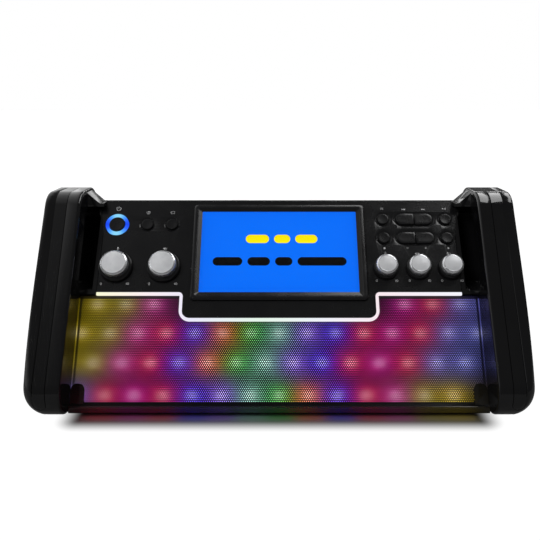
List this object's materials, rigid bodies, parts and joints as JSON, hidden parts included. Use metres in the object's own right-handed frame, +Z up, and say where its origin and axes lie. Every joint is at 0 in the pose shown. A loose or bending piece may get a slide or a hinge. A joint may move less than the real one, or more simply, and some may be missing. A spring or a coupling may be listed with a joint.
{
  "type": "karaoke machine",
  "caption": "Tabletop karaoke console with loop end handles, sloped control panel with built-in display, lit perforated speaker grille, tablet slot and top-loading disc player.",
  "frame": {"origin": "on the floor under the middle of the console's box", "axes": "+X to the console's right as seen from the front, +Y to the back, +Z up"},
  "size_m": [0.452, 0.304, 0.19],
  "materials": {
    "handle_gloss": "moulded high gloss",
    "inlay_satin": "moulded semi-gloss",
    "panel_gloss": "moulded gloss",
    "case_matte": "fine spark-eroded texture",
    "button_black": "moulded semi-gloss",
    "knob_black": "moulded satin",
    "knob_silver": "spun face, bright bevel",
    "light_white": "frosted light pipe",
    "light_blue": "frosted light ring",
    "grille_metal": "perforated and powder coated",
    "diffuser_white": "frosted sheet",
    "led_lens": "clear moulded lens",
    "board_green": "solder mask",
    "component_black": "moulded",
    "steel": "zinc plated",
    "ferrite": "sintered",
    "cone_paper": "pressed pulp",
    "screen_glass": "polished",
    "screen_lit": "backlit display",
    "rubber": "moulded",
    "hub_plastic": "moulded"
  },
  "bodies": {
    "console": {"base_tray": "case_matte", "rear_cover": "case_matte", "top_deck": "case_matte", "rubber_feet": "rubber", "case_screws": "steel", "handle_outer_right": "handle_gloss", "handle_outer_left": "handle_gloss", "handle_inner_right": "handle_gloss", "handle_inner_left": "handle_gloss", "grip_inlay_right": "inlay_satin", "grip_inlay_left": "inlay_satin", "control_panel": "panel_gloss", "light_strip": "light_white", "screen_bezel": "panel_gloss", "display_window": "screen_glass", "display_module": "screen_lit", "power_ring": "light_blue", "control_boards": "board_green", "tact_switches": "component_black", "potentiometers": "steel", "speaker_grille": "grille_metal", "light_diffuser": "diffuser_white", "leds": "led_lens", "led_strips": "board_green", "speaker_baffle": "component_black", "speaker_baskets": "steel", "speaker_cones": "cone_paper", "speaker_magnets": "ferrite", "lid_hinge_pins": "steel", "drive_motors": "steel", "guide_rods": "steel", "main_board": "board_green", "power_board": "board_green", "rear_jacks": "component_black", "mains_inlet": "component_black"},
    "power_button": {"power_button": "button_black"},
    "function_button": {"function_button": "button_black"},
    "screen_button": {"screen_button": "button_black"},
    "program_button": {"program_button": "button_black"},
    "record_button": {"record_button": "button_black"},
    "play_button": {"play_button": "button_black"},
    "stop_button": {"stop_button": "button_black"},
    "skip_back_button": {"skip_back_button": "button_black"},
    "skip_forward_button": {"skip_forward_button": "button_black"},
    "key_down_button": {"key_down_button": "button_black"},
    "key_up_button": {"key_up_button": "button_black"},
    "mic_volume_knob": {"mic_volume_knob": "knob_black", "mic_volume_cap": "knob_silver"},
    "master_volume_knob": {"master_volume_knob": "knob_black", "master_volume_cap": "knob_silver"},
    "echo_knob": {"echo_knob": "knob_black", "echo_cap": "knob_silver"},
    "balance_knob": {"balance_knob": "knob_black", "balance_cap": "knob_silver"},
    "voice_control_knob": {"voice_control_knob": "knob_black", "voice_control_cap": "knob_silver"},
    "disc_lid": {"disc_lid": "case_matte"},
    "turntable": {"turntable": "hub_plastic"},
    "pickup_sled": {"pickup_sled": "component_black"},
    "lead_screw": {"lead_screw": "steel"}
  },
  "joints": [
    {"name": "power_button_press", "type": "slide", "parent": "console", "child": "power_button", "axis": [0, 0.7771, -0.6293], "range_m": [0, 0.0012], "stiffness_N_per_m": 900},
    {"name": "function_button_press", "type": "slide", "parent": "console", "child": "function_button", "axis": [0, 0.7771, -0.6293], "range_m": [0, 0.0012], "stiffness_N_per_m": 900},
    {"name": "screen_button_press", "type": "slide", "parent": "console", "child": "screen_button", "axis": [0, 0.7771, -0.6293], "range_m": [0, 0.0012], "stiffness_N_per_m": 900},
    {"name": "program_button_press", "type": "slide", "parent": "console", "child": "program_button", "axis": [0, 0.7771, -0.6293], "range_m": [0, 0.0012], "stiffness_N_per_m": 900},
    {"name": "record_button_press", "type": "slide", "parent": "console", "child": "record_button", "axis": [0, 0.7771, -0.6293], "range_m": [0, 0.0012], "stiffness_N_per_m": 900},
    {"name": "play_button_press", "type": "slide", "parent": "console", "child": "play_button", "axis": [0, 0.7771, -0.6293], "range_m": [0, 0.0012], "stiffness_N_per_m": 900},
    {"name": "stop_button_press", "type": "slide", "parent": "console", "child": "stop_button", "axis": [0, 0.7771, -0.6293], "range_m": [0, 0.0012], "stiffness_N_per_m": 900},
    {"name": "skip_back_button_press", "type": "slide", "parent": "console", "child": "skip_back_button", "axis": [0, 0.7771, -0.6293], "range_m": [0, 0.0012], "stiffness_N_per_m": 900},
    {"name": "skip_forward_button_press", "type": "slide", "parent": "console", "child": "skip_forward_button", "axis": [0, 0.7771, -0.6293], "range_m": [0, 0.0012], "stiffness_N_per_m": 900},
    {"name": "key_down_button_press", "type": "slide", "parent": "console", "child": "key_down_button", "axis": [0, 0.7771, -0.6293], "range_m": [0, 0.0012], "stiffness_N_per_m": 900},
    {"name": "key_up_button_press", "type": "slide", "parent": "console", "child": "key_up_button", "axis": [0, 0.7771, -0.6293], "range_m": [0, 0.0012], "stiffness_N_per_m": 900},
    {"name": "mic_volume_turn", "type": "hinge", "parent": "console", "child": "mic_volume_knob", "pos_m": [-0.159, -0.05475, 0.11968], "axis": [0, -0.7771, 0.6293], "range_deg": [-150, 150]},
    {"name": "master_volume_turn", "type": "hinge", "parent": "console", "child": "master_volume_knob", "pos_m": [-0.1125, -0.05475, 0.11968], "axis": [0, -0.7771, 0.6293], "range_deg": [-150, 150]},
    {"name": "echo_turn", "type": "hinge", "parent": "console", "child": "echo_knob", "pos_m": [0.1041, -0.05545, 0.11882], "axis": [0, -0.7771, 0.6293], "range_deg": [-150, 150]},
    {"name": "balance_turn", "type": "hinge", "parent": "console", "child": "balance_knob", "pos_m": [0.1358, -0.05545, 0.11882], "axis": [0, -0.7771, 0.6293], "range_deg": [-150, 150]},
    {"name": "voice_control_turn", "type": "hinge", "parent": "console", "child": "voice_control_knob", "pos_m": [0.1671, -0.05545, 0.11882], "axis": [0, -0.7771, 0.6293], "range_deg": [-150, 150]},
    {"name": "disc_lid_hinge", "type": "hinge", "parent": "console", "child": "disc_lid", "pos_m": [0, 0.1454, 0.1504], "axis": [-1, 0, 0], "range_deg": [0, 95]},
    {"name": "turntable_spin", "type": "hinge", "parent": "console", "child": "turntable", "pos_m": [0, 0.0805, 0.1365], "axis": [0, 0, 1], "continuous": true},
    {"name": "pickup_slide", "type": "slide", "parent": "console", "child": "pickup_sled", "axis": [1, 0, 0], "range_m": [0, 0.034]},
    {"name": "lead_screw_turn", "type": "hinge", "parent": "console", "child": "lead_screw", "pos_m": [0.0158, 0.1045, 0.1265], "axis": [1, 0, 0], "range_deg": [0, 3080]}
  ],
  "couplings": [
    {"joint": "lead_screw_turn", "follows": "pickup_slide", "rad_per_m": 1570.8}
  ]
}
